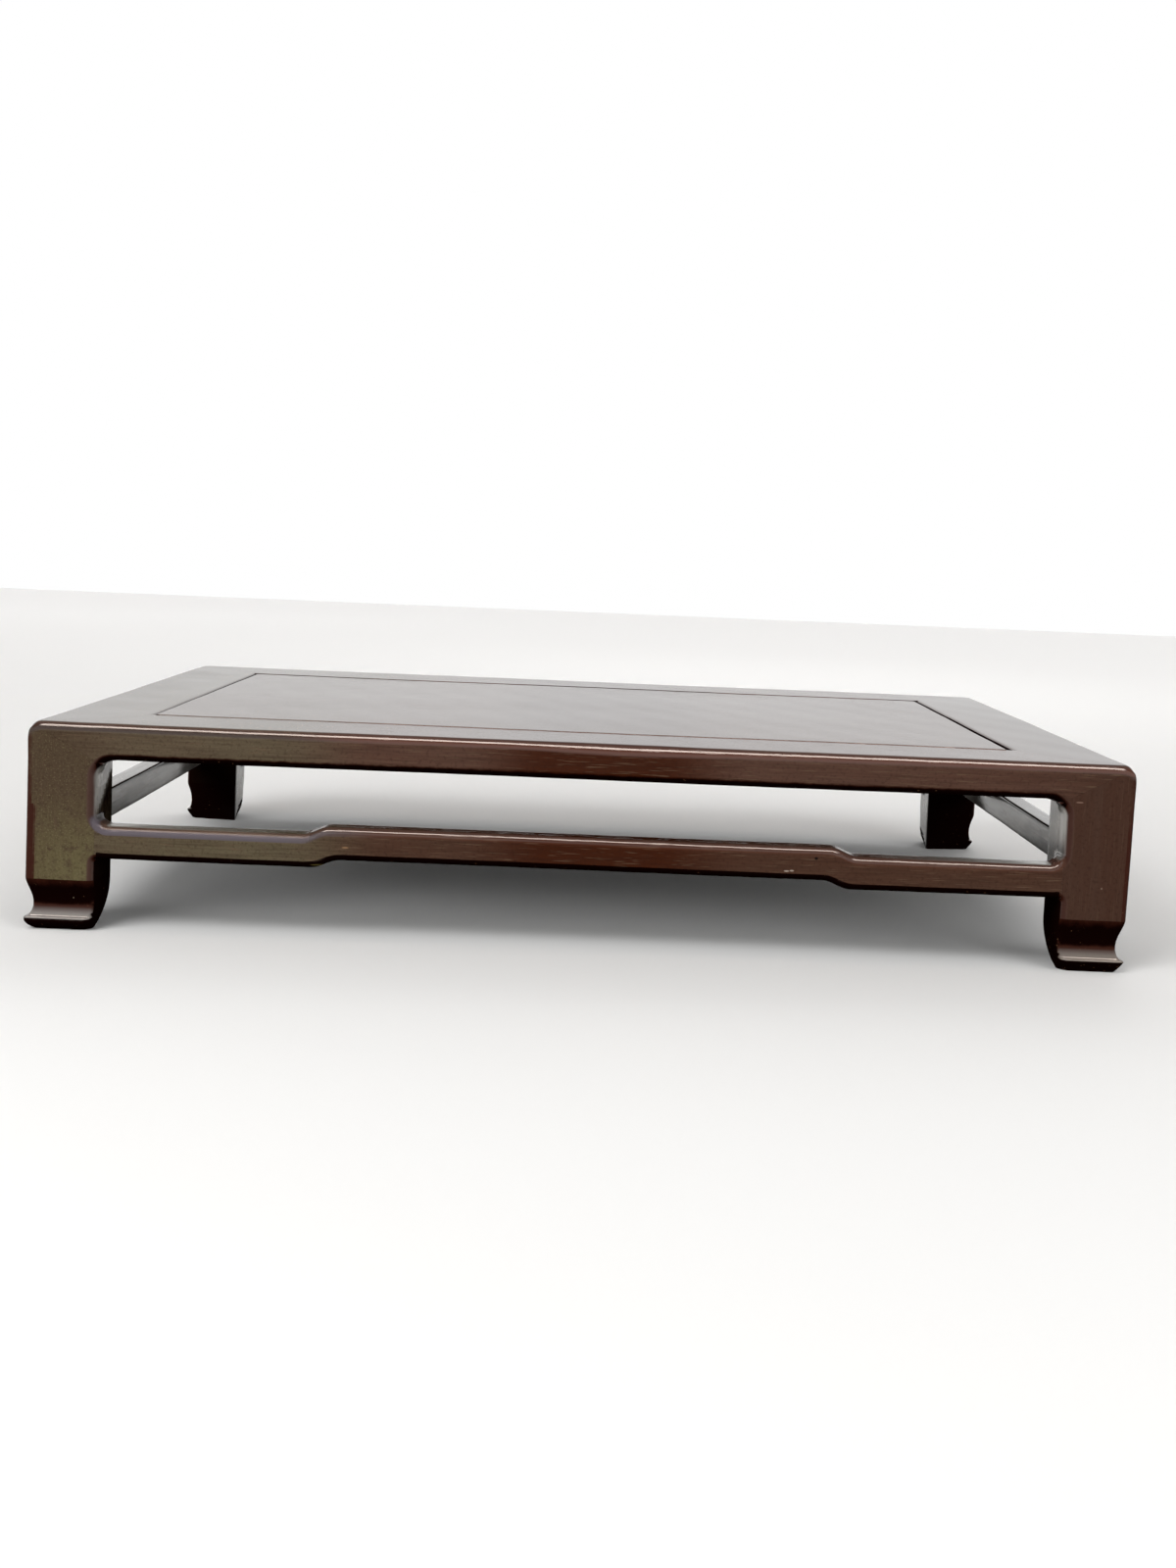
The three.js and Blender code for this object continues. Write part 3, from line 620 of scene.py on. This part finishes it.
def characterise(mesh, footTop, innerLevel, s=wearSet):
    # writes each face's finish, and how much of an edge, how rubbed, and how much painted sheen,
    # highlight and shade it has
    (nx, ny, nz), (x, y, z) = perFace(mesh, "normal"), perFace(mesh, "center")

    def grown(value, name):
        return smooth(value, *s[name])

    def band(value, name):
        rise, risen, fade, faded = s[name]
        return smooth(value, rise, risen) * smooth(value, faded, fade)

    leftHalf, barHigh = x < 0, z < s["barLevel"]
    barFace = barHigh & (y < lowCorner.y + s["faceDeep"])
    grooveX, grooveY = highCorner.x - railWidth, highCorner.y - railWidth
    inwardX = -np.sign(x) * nx * (np.abs(x) > grooveX)
    inwardY = -np.sign(y) * ny * (np.abs(y) > grooveY)
    inward, upright = grown(inwardX, "inward"), grown(nz, "upright")
    rearWall = (inwardX > s["inward"][0]) & (y > 0)
    foot = (z < footTop - 0.0004) & ~rearWall

    # edge: 0 on a flat face, rising to 1 where the surface turns sideways or down
    turned, over = s["turned"]
    edge = np.clip((1 - np.abs([nx, ny, nz]).max(axis=0) - turned) / over, 0, 1) * upright
    leaned = np.where(leftHalf, leanSet["left"]["outer"], leanSet["right"]["outer"])
    leaned *= np.clip(1 - z / underRail, 0, 1)
    fromCorner = np.maximum(highCorner.x + leaned - np.abs(x), highCorner.y - np.abs(y))
    wide = 1 + s["cornerWider"] * (leftHalf & barHigh)
    edge = np.maximum(edge, grown(fromCorner / wide, "cornerEdge") * upright)
    edge *= np.where(fromCorner < s["cornerCalm"], 1 - s["calmShare"] * grown(z, "calmHeight"), 1.0)
    rubbed = band(inwardX, "rubbed") * grown(nz, "rubbedBelow") * upright
    rubbed *= np.where(x > 0, *s["rubbedSides"])
    # painted highlight along the roundings that look almost straight up
    rubbed = np.maximum(rubbed, band(nz, "highlightTop") * s["highlightTopShare"])
    arris = band(nz, "arris") * np.where(barHigh, s["arrisLow"], 1.0)
    # painted reflection in a band along the front stretcher's upper edge
    paintedReflection = band(nz, "paintedReflection") * barFace
    # painted reflection on the toes' lips, palest low down
    looksUp = grown(nz, "lipLook")
    lip = looksUp * (s["lipSheenLeast"] + (1 - s["lipSheenLeast"]) * grown(z, "lipHeight"))

    atGroove = ((z > tableTop - s["grooveDrop"]) & (np.abs(np.abs(x) - grooveX) < s["grooveReach"])
                & (np.abs(y) < grooveY + s["grooveReach"]))
    groove = atGroove * grown(nz, "groove")
    # painted shade on the front legs' inner walls below the stretchers
    low = grown(inwardX, "lowWall") * (z < frontSide["barUnder"]) * (y < 0)
    # painted shade: the left front leg's inner wall grows darker downwards and away from the face, the
    # right one and the near ends of the side stretchers only downwards
    onLeg = y < -grooveY
    away = y + highCorner.y - s["wallSlant"] * (z - s["wallLevel"])
    farWallShade = inward * onLeg * leftHalf * grown(away, "wallFar")
    dusk = inward * np.where(onLeg, grown(z, "duskLeg") * (x > 0) * (z > s["duskFoot"]),
                             grown(z, "duskBar") * grown(y, "duskDeep"))
    onBar = (z > frontSide["barUnder"] - s["margin"]) & (np.abs(x) < highCorner.x - frontSide["legAlong"])
    under = np.where(onBar, grown(nz, "barUnder"), grown(nz, "legUnder"))
    under = np.where(z > underRail - s["margin"], grown(nz, "railUnder"), under)
    # painted shade in the feet's necks, growing below the neck's top
    hollow = s["footShade"] + (1 - s["footShade"]) * grown(footTop - z, "neckShade")
    share = s["share"]
    # painted shade: under things, in the necks and on the inner walls
    shade = np.maximum.reduce([
        under, grown(inwardY, "inwardRear"), foot * hollow * (1 - looksUp), low,
        share["inward"] * inward, share["groove"] * groove, share["farWallShade"] * farWallShade,
        share["dusk"] * dusk, share["rearWall"] * rearWall * (z < s["rearFoot"])])
    # painted sheen: the pale wall's reflection on the inner walls and on the flat ends of the front
    # stretcher's top
    paintedSheen = np.where(y > grooveY, s["sheenRear"] * grown(z, "sheenLegs"), z > s["sheenFrom"])
    paintedSheen = inward * paintedSheen * (z < underRail) * (1 - farWallShade) * (1 - s["sheenDusk"] * dusk)
    flatTop = (nz > s["sheenLook"]) * barHigh * ~foot
    paintedSheen = np.maximum(paintedSheen, s["sheenShare"] * grown(np.abs(x), "sheenTop") * flatTop)

    bright, satin, dull, unpolished = range(len(finishOrder))
    brightFrom = np.where(foot, s["bareFoot"], np.where(barHigh, s["barBright"], s["railBright"]))
    finish = np.where(nz > brightFrom, bright, dull)
    wall = np.where(z < innerLevel, satin, bright)
    finish = np.where(inwardX > s["wallLook"], wall, finish)
    bare = ((nz < s["bareLook"]) | (inwardY > s["wallLook"]) | (foot & (nz < s["bareFoot"]))
            | (groove > 0.4) | (low > 0.4) | (farWallShade > 0.5))
    finish = np.where(bare, unpolished, finish)
    satinLow, satinHigh = s["satinLook"]
    finish[barFace & (x < s["satinLeft"]) & (nz > satinLow) & (nz < satinHigh) & ~foot] = satin
    mesh.polygons.foreach_set("material_index", finish.astype(np.int32))
    for layer, value in (("edge", np.where(foot, 1 - lip, edge)), ("rubbed", rubbed * ~foot),
                         ("arris", arris * ~foot), ("lip", lip * foot), ("paintedSheen", paintedSheen),
                         ("shade", shade), ("paintedReflection", paintedReflection * ~foot)):
        attribute = mesh.attributes.new(layer, "FLOAT", "FACE")
        attribute.data.foreach_set("value", value.astype(np.float32))


def stacked(rings):
    # rings of x, y and z, each a column or one number for all of it, as one grid of points
    rings = [np.broadcast_arrays(*ring) for ring in rings]
    return np.stack([np.concatenate(columns, axis=1) for columns in zip(*rings)], axis=-1)


def skin(name, rows, mirrored, materials, footTop=0.0, innerLevel=0.0, s=makerSet):
    # rows of points joined into a closed skin, its two ends closed by fans
    rows = settle(rows)
    rowCount, ringCount = rows.shape[:2]
    ends = np.array([rows[0].mean(axis=0), rows[-1].mean(axis=0)])
    points = np.vstack([rows.reshape(-1, 3), ends])
    here = np.arange(rowCount * ringCount).reshape(rowCount, ringCount)
    after = np.roll(here, -1, axis=1)
    quads = np.stack([here[:-1], after[:-1], after[1:], here[1:]], axis=-1).reshape(-1, 4)
    tip = np.full(ringCount, here.size)
    fans = np.vstack([
        np.stack([after[0], here[0], tip], axis=-1), np.stack([here[-1], after[-1], tip + 1], axis=-1)])
    if mirrored:
        quads = quads[:, ::-1]
        fans = fans[:, ::-1]
    mesh = bpy.data.meshes.new(name)
    mesh.vertices.add(len(points))
    mesh.vertices.foreach_set("co", points.astype(np.float32).ravel())
    loops = np.concatenate([quads.ravel(), fans.ravel()]).astype(np.int32)
    mesh.loops.add(len(loops))
    mesh.loops.foreach_set("vertex_index", loops)
    sizes = np.concatenate([np.full(len(quads), 4), np.full(len(fans), 3)])
    mesh.polygons.add(len(sizes))
    mesh.polygons.foreach_set("loop_start", np.concatenate([[0], np.cumsum(sizes)[:-1]]).astype(np.int32))
    mesh.update(calc_edges=True)
    mesh.validate()
    mesh.polygons.foreach_set("use_smooth", np.ones(len(mesh.polygons), dtype=bool))
    mesh.set_sharp_from_angle(angle=radians(s["sharpAngle"]))
    for material in materials:
        mesh.materials.append(material)
    characterise(mesh, footTop, innerLevel)
    piece = addObject(name, mesh)
    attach(piece, "root")
    return piece


def quarterTurn(count):  # 1 - cos and 1 - sin of angles from 0 to a right angle
    angles = np.linspace(0, np.pi / 2, count)
    return list(zip(1 - np.cos(angles), 1 - np.sin(angles)))


def spaced(start, end, count, crowd=0.0):
    # numbers from start to end, crowded towards the end by a share
    t = np.linspace(0, 1, count)
    return start + (end - start) * ((1 - crowd) * t + crowd * np.sin(t * np.pi / 2))


def alongStations(side, start, end):
    # places along a member: even, and closer at the corners and the slopes of the hump
    half = side["span"] / 2
    even = np.linspace(0, half, 150)
    outer = np.linspace(0, 0.014, 21)
    corner = side["legAlong"] + np.linspace(-0.006, 0.016, 51)
    wanted = [even, outer, corner]
    if side["hump"] > 0:
        wanted.append(half - side["humpLength"]["top"] / 2 + np.linspace(-0.012, 0.022, 45))
    stations = np.unique(np.round(np.concatenate(wanted), 5))
    stations = stations[(stations > start + 0.0004) & (stations < half - 0.0010)]
    stations = stations[np.diff(stations, prepend=start) > 0.0002]
    left = np.concatenate([[start], stations, [half]])
    return (np.concatenate([left, (side["span"] - left[:-1])[::-1]]) - start) / (end - start)


# How a piece stands in the table: measured from the right, from the rear, and with its
# length along the depth.
wayOf = {
    "front": (0, 0, 0), "rear": (0, 1, 0), "left": (0, 0, 1), "right": (1, 0, 1),
    "frontLeft": (0, 0, 0), "frontRight": (1, 0, 0), "rearLeft": (0, 1, 0), "rearRight": (1, 1, 0),
}


def skinPlaced(name, rows, way, materials, *levels):
    # from its own corner to its place in the table: each change of sides mirrors it
    fromRight, fromRear, turned = wayOf[way]
    x, y = rows[..., turned], rows[..., 1 - turned]
    x = highCorner.x - x if fromRight else lowCorner.x + x
    y = highCorner.y - y if fromRear else lowCorner.y + y
    mirrored = sum(wayOf[way]) % 2 == 1
    return skin(name, np.stack([x, y, rows[..., 2]], axis=-1), mirrored, materials, *levels)


def roundCorner(points, span, s=makerSet):
    # the outer upright corners, drawn in to a quarter circle
    radius = s["cornerArris"]
    x = points[..., 0]
    a = radius - np.minimum(x, span - x)
    b = radius - points[..., 1]
    reach = np.hypot(a, b)
    outside = (a > 0) & (b > 0) & (reach > radius)
    scale = np.where(outside, radius / np.maximum(reach, 1e-9), 1.0)
    fromEnd = radius - a * scale
    rounded = points.copy()
    rounded[..., 0] = np.where(x < span / 2, fromEnd, span - fromEnd)
    rounded[..., 1] = radius - b * scale
    return rounded


frameSet = {
    "grooveLow": panelBox[0].z - 0.00015,
    "grooveHigh": panelBox[0].z + 0.0053,
    "grooveDeep": 0.007,
    "cornerSkin": 0.0003,  # what covers the very tip of a leg's head
    # how much rounder the front arris is worn, at which share of its length and how widely
    "wear": {"front": ((0.0014, 0.53, 0.035), (0.00049, 0.60, 0.030))},
}


def arrisDrop(deep, across, down):  # a quarter ellipse: down at the face, nothing past across
    inward = 1 - np.clip(deep / across, 0, 1)
    return down * (1 - np.sqrt(np.maximum(1 - inward ** 2, 0)))


def headHeight(side, along, deep):
    # the two mitre faces of a leg's head, which fall from the outer corner
    fall = np.maximum(along / side["legAlong"], deep / side["legDeep"])
    return tableTop - (tableTop - underRail) * np.minimum(fall, 1)


def frameMember(name, node, way, material, s=makerSet, f=frameSet):
    # a profile carried along the member; every ring stands in the mitre's plane, so the
    # two ends close against their neighbours and the profile follows the leg's head
    side = sideOf[way]
    span, shoulder, band, gap = side["span"], side["shoulder"], s["band"], s["joint"]
    t = alongStations(side, 0.0, span)[:, None]
    worn = 0 * t
    for size, place, length in f["wear"].get(way, ()):
        worn += size * np.exp(-((t - place) * span / length) ** 2)
    across, down = s["arrisAcross"] + worn, s["arrisDown"] + worn

    def alongAt(deep):
        return deep + gap + t * (span - 2 * (deep + gap))

    def lowSurface(deep):
        along = alongAt(deep)
        end = np.minimum(along, span - along)
        past = end - side["legAlong"]
        level = np.where(deep < band, underRail - filletReach(past, s["railFillet"]), underRail)
        head = headHeight(side, end, deep) + gap
        head = np.minimum(head, tableTop - arrisDrop(deep, across, down) - f["cornerSkin"])
        return along, np.where((past < 0) & (deep < side["legDeep"]), head, level)

    rings = []
    # down the face, with the points crowded where its lower edge rounds
    along, lowest = lowSurface(0.0)
    for share in np.concatenate([np.linspace(0, 0.70, 14), spaced(0.72, 1.0, 14, 0.6)]):
        height = (tableTop - down) + share * (lowest - (tableTop - down))
        rings.append((along, faceDepth(side, along, height), height))
    startDeep = rings[-1][1]
    # across the underside: the band first, then the rest
    under = [startDeep + share * (band - 0.0001 - startDeep) for share in np.linspace(0.12, 1, 5)]
    under += [band + 0.0001, *np.linspace(band + 0.006, railWidth - 0.0006, 7)]
    for deep in under:
        along, level = lowSurface(deep)
        rings.append((along, deep, level))
    # up the inner face, round the panel's groove and the shoulder
    inner = [
        (railWidth, underRail + 0.0006), (railWidth, f["grooveLow"]),
        (railWidth - f["grooveDeep"], f["grooveLow"]), (railWidth - f["grooveDeep"], f["grooveHigh"]),
        (railWidth, f["grooveHigh"]),
    ]
    inner += [(railWidth - shoulder * a, tableTop - shoulder * b) for a, b in quarterTurn(8)]
    rings += [(alongAt(deep), deep, height) for deep, height in inner]
    # back across the top, closer near the edge, and round the outer arris
    field = railWidth - shoulder
    for share in np.concatenate([np.linspace(0.06, 0.75, 9), np.linspace(0.77, 0.985, 13)]):
        deep = field + share * (across - field)
        rings.append((alongAt(deep), deep, tableTop))
    for a, b in quarterTurn(19)[:-1]:
        rings.append((alongAt(across * b), across * b, tableTop - down * a))
    piece = skinPlaced(name, roundCorner(stacked(rings), span), way, material)
    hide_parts(node)


def stretcher(name, node, way, material, s=makerSet):
    # a profile carried between the legs, its height following the hump and the fillets
    side = sideOf[way]
    start = side["legAlong"] + s["joint"]
    end = side["span"] - start
    along = start + alongStations(side, start, end)[:, None] * (end - start)
    past = np.minimum(along, side["span"] - along) - side["legAlong"]
    high = side["barTop"] + humpLift(side, along, "top") + filletReach(past, s["barFillet"])
    low = side["barUnder"] + humpLift(side, along, "under") - filletReach(past, s["lowerFillet"])
    back, soft = side["barThick"], s["barBack"]
    middle = (high + low) / 2
    # down the face, with the points crowded where both edges round
    outward = np.sin(np.linspace(0, np.pi / 2, 16))
    heights = [middle + (high - middle) * share for share in outward[::-1]]
    heights += [middle + (low - middle) * share for share in outward[1:]]
    rings = [(along, faceDepth(side, along, height), height) for height in heights]
    topStart, underStart = rings[0][1], rings[-1][1]
    for share in np.linspace(0.15, 1, 5):
        rings.append((along, underStart + share * (back - soft - underStart), low))
    rings += [(along, back - soft * b, low + soft * a) for a, b in quarterTurn(6)[1:]]
    rings.append((along, back, middle))
    rings += [(along, back - soft * a, high - soft * b) for a, b in quarterTurn(6)]
    for share in np.linspace(0.15, 0.9, 4):
        rings.append((along, (back - soft) + share * (topStart - (back - soft)), high))
    piece = skinPlaced(name, stacked(rings), way, material)
    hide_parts(node)


legSet = {
    "neckTop": 0.0300,  # of the front feet, the rear ones being cut a little lower
    "neckDeepest": 0.0140,
    "neckDepth": 0.0035,
    "toe": 0.0074,
    "lipStraight": 0.55,  # 0 hollows the upper side of the toe, 1 leaves it straight
    "undercut": 0.0043,
    "underBend": 1.5,  # 1 cuts the toe straight under, more leaves it rounder
    "flare": 0.0005,  # how far the toe stands out past the leg's face
    "tipRadius": 0.0009,
    "taperFace": 0.0022,  # how far both inner faces draw in at the floor, by the outer faces
    "taperBack": 0.0047,  # and at the inner corner
    "taperTop": 0.024,
    "backArris": 0.0015,
    "dimBelow": 0.060,  # the inner wall is less polished below this
    "headStart": 0.086,  # above this the rows lean into the mitre faces
}
frontLeftSet = {**legSet, "neckTop": 0.0290, "underBend": 2.2, "dimBelow": 0.080}
frontRightSet = {**legSet, "undercut": 0.0034, "underBend": 1.15}
rearLegSet = {**legSet, "neckTop": 0.0280, "neckDeepest": 0.0142, "neckDepth": 0.0037,
              "undercut": 0.0032, "underBend": 1.2, "flare": 0.0, "tipRadius": 0.0012, "lipStraight": 0.7,
              "taperFace": 0.0034, "taperBack": 0.0, "taperTop": 0.018, "dimBelow": 0.0}


def footProfile(f):
    # inset and height from the floor up: the undercut, the round tip of the toe, a quarter
    # ellipse over it, and the hollow neck
    tipInset, tipHeight = f["tipRadius"] - f["flare"], f["toe"] - f["tipRadius"]
    turn = np.linspace(-0.2, np.pi / 2, 10)
    tip = tipInset - f["tipRadius"] * np.cos(turn), tipHeight + f["tipRadius"] * np.sin(turn)
    climb = np.linspace(0, 1, 15)[:-1]
    under = (tip[0][0] + (f["undercut"] - tip[0][0]) * (1 - climb) ** f["underBend"], climb * tip[1][0])
    bend = np.linspace(0, np.pi / 2, 18)[1:]
    outward = np.sin(bend)
    upward = (1 - f["lipStraight"]) * (1 - np.cos(bend)) + f["lipStraight"] * outward * bend / (np.pi / 2)
    lipHeight = f["toe"] + (f["neckDeepest"] - f["toe"]) * upward
    lip = (tipInset + (f["neckDepth"] - tipInset) * outward, lipHeight)
    rise = np.linspace(0, 1, 28)[1:]
    neck = (f["neckDepth"] * np.sin((1 - rise) * np.pi / 2) ** 1.5,
            f["neckDeepest"] + rise * (f["neckTop"] - f["neckDeepest"]))
    inset, height = (np.concatenate(parts) for parts in zip(under, tip, lip, neck))
    return inset, height


def innerReach(side, height, s=makerSet):
    # how far the leg widens into the fillets above and below the openings
    upper = filletReach(underRail - height, s["railFillet"])
    middle = filletReach(height - side["barTop"], s["barFillet"])
    lower = filletReach(side["barUnder"] - height, s["lowerFillet"])
    return upper + middle + lower


def leg(name, node, way, material, f=legSet, s=makerSet):
    # rings stacked from the floor, the last of them lying on the two mitre faces
    wide, deep = frontSide["legAlong"], endSide["legAlong"]
    footInset, footLevels = footProfile(f)
    bars = [side[edge] + np.linspace(-0.009, 0.010, 25)
            for side in (frontSide, endSide) for edge in ("barTop", "barUnder")]
    shaft = np.linspace(f["neckTop"] + 0.0006, f["headStart"], 44)
    shaftLevels = np.unique(np.round(np.concatenate([shaft, *bars]), 5))
    shaftLevels = shaftLevels[(shaftLevels > f["neckTop"] + 0.0005) & (shaftLevels <= f["headStart"])]
    shares = np.linspace(0, 1, 30)[1:]
    headLevels = f["headStart"] + shares * (underRail - f["headStart"])
    levels = np.concatenate([footLevels, shaftLevels, headLevels])
    inset = np.zeros_like(levels)
    inset[:len(footInset)] = footInset
    lift = np.zeros_like(levels)
    lift[-len(shares):] = shares
    level, inset, lift = levels[:, None], inset[:, None], lift[:, None]
    fall = np.clip(1 - level / f["taperTop"], 0, 1) ** 2
    taper, taperBack = f["taperFace"] * fall, f["taperBack"] * fall
    corner, soft = s["cornerArris"], f["backArris"]
    wideHere, deepHere = wide - taperBack, deep - taperBack
    right = wide - taper + innerReach(frontSide, level)
    back = deep - taper + innerReach(endSide, level)
    faceShares = np.concatenate([
        np.linspace(0, 0.36, 13)[1:], np.linspace(0.43, 0.78, 6), spaced(0.81, 1, 16, 0.6)])

    def height(x, y):
        head = headHeight(frontSide, np.minimum(x, wide), np.minimum(y, deep))
        head = np.minimum(head, tableTop - s["arrisDown"] - frameSet["cornerSkin"]) - s["joint"]
        return level + lift * (head - underRail)

    rings = [(inset + corner * a, inset + corner * b) for a, b in quarterTurn(9)]
    start = inset + corner
    for share in faceShares:
        x = start + share * (right - start)
        rings.append((x, inset + faceDepth(frontSide, x + taper, height(x, 0.0))))
    wallStart = rings[-1][1]
    wallEnd = deepHere - soft
    for share in np.linspace(0.1, 1, 9):
        y = wallStart + share * (wallEnd - wallStart)
        drawnIn = taper + share * (taperBack - taper)
        rings.append((wide - drawnIn + np.where(y < s["band"], right - (wide - taper), 0), y))
    rings += [(wideHere - soft * a, deepHere - soft * b) for a, b in quarterTurn(5)[1:]]
    sideStart = inset + faceDepth(endSide, back + taper, height(0.0, back))
    for share in np.linspace(0.1, 0.9, 8):
        x = (wideHere - soft) + share * (sideStart - (wideHere - soft))
        drawnIn = taperBack + share * (taper - taperBack)
        rings.append((x, deep - drawnIn + np.where(x < s["band"], back - (deep - taper), 0)))
    for share in faceShares[::-1]:
        y = start + share * (back - start)
        rings.append((inset + faceDepth(endSide, y + taper, height(0.0, y)), y))
    points = stacked([(x, y, height(x, y)) for x, y in rings])
    piece = skinPlaced(name, points, way, material, f["neckTop"], f["dimBelow"])
    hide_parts(node)


panelSet = {
    "leftGroove": 0.0015,  # open lines at the short ends
    "rightGroove": 0.0033,
    "widening": 0.0010,  # the right one is wider by this at the front, narrower at the rear
    "sideGroove": 0.00010,
    "arris": 0.0005,
    "shortest": 0.002,  # where the even stations start, from the panel's ends
    "tongue": 0.005,
    "tilt": 0.00025,  # how far the front edge stands up and the rear edge lies down
}


def topPanel(material, s=panelSet):
    # a profile across the depth carried along the length: a flush field on a lower tongue
    low, high = panelBox
    left, right = lowCorner.x + railWidth + s["leftGroove"], highCorner.x - railWidth - s["rightGroove"]
    front, rear = lowCorner.y + railWidth + s["sideGroove"], highCorner.y - railWidth - s["sideGroove"]
    turn = quarterTurn(5)
    bend = s["arris"] * np.array(turn)[:, 0]
    even = np.linspace(left + s["shortest"], right - s["shortest"], 170)
    x = np.concatenate([left + bend, even, right - bend[::-1]])[:, None]
    drop = quarterDepth(np.minimum(x - left, right - x), s["arris"])

    def top(y):
        return tableTop - s["tilt"] * (2 * (y - front) / (rear - front) - 1) - drop

    under = low.z + s["tongue"]
    rings = [(x, y, low.z) for y in np.linspace(low.y, high.y, 24)]
    rings += [(x, high.y, under), (x, rear, under + 0.0003)]
    rings += [(x, rear - s["arris"] * a, top(rear) - s["arris"] * b) for a, b in turn]
    rings += [(x, y, top(y)) for y in np.linspace(rear - 0.003, front + 0.003, 90)]
    rings += [(x, front + s["arris"] * a, top(front) - s["arris"] * b) for a, b in turn[::-1]]
    rings += [(x, front, under + 0.0003), (x, low.y, under)]
    points = stacked(rings)
    points[..., 0] += s["widening"] * np.clip(points[..., 0] / right, 0, 1) * points[..., 1] / rear
    piece = skin("panelBoard", points, False, material)
    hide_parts("top_panel")


def batten(name, node, material, arris=0.001):
    # a plain bar under the panel, its two lower edges lightly rounded, from rail to rail
    low, high = [Vector(corner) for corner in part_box(node)]
    y = np.linspace(lowCorner.y + railWidth, highCorner.y - railWidth, 60)[:, None]
    top = panelBox[0].z - 0.0001
    profile = [(low.x, top)]
    profile += [(low.x + arris * a, low.z + arris * b) for a, b in quarterTurn(5)]
    profile += [(high.x - arris * b, low.z + arris * a) for a, b in quarterTurn(5)]
    profile += [(high.x, top)]
    piece = skin(name, stacked([(x, y, z) for x, z in profile]), True, material)
    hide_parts(node)


topPanel(board)
batten("leftBatten", "left_batten", alongY)
batten("rightBatten", "right_batten", alongY)
print("panel and battens made")
frameMember("frontRail", "front_frame_rail", "front", alongX)
frameMember("rearRail", "rear_frame_rail", "rear", alongX)
frameMember("leftEnd", "left_frame_end", "left", alongY)
frameMember("rightEnd", "right_frame_end", "right", alongY)
print("frame made")
stretcher("frontStretcher", "front_stretcher", "front", alongX)
stretcher("rearStretcher", "rear_stretcher", "rear", alongX)
stretcher("leftStretcher", "left_side_stretcher", "left", alongY)
stretcher("rightStretcher", "right_side_stretcher", "right", alongY)
print("stretchers made")
leg("frontLeftLeg", "front_left_leg", "frontLeft", alongZ, frontLeftSet)
leg("frontRightLeg", "front_right_leg", "frontRight", alongZ, frontRightSet)
leg("rearLeftLeg", "rear_left_leg", "rearLeft", alongZ, rearLegSet)
leg("rearRightLeg", "rear_right_leg", "rearRight", alongZ, rearLegSet)
print("legs made")
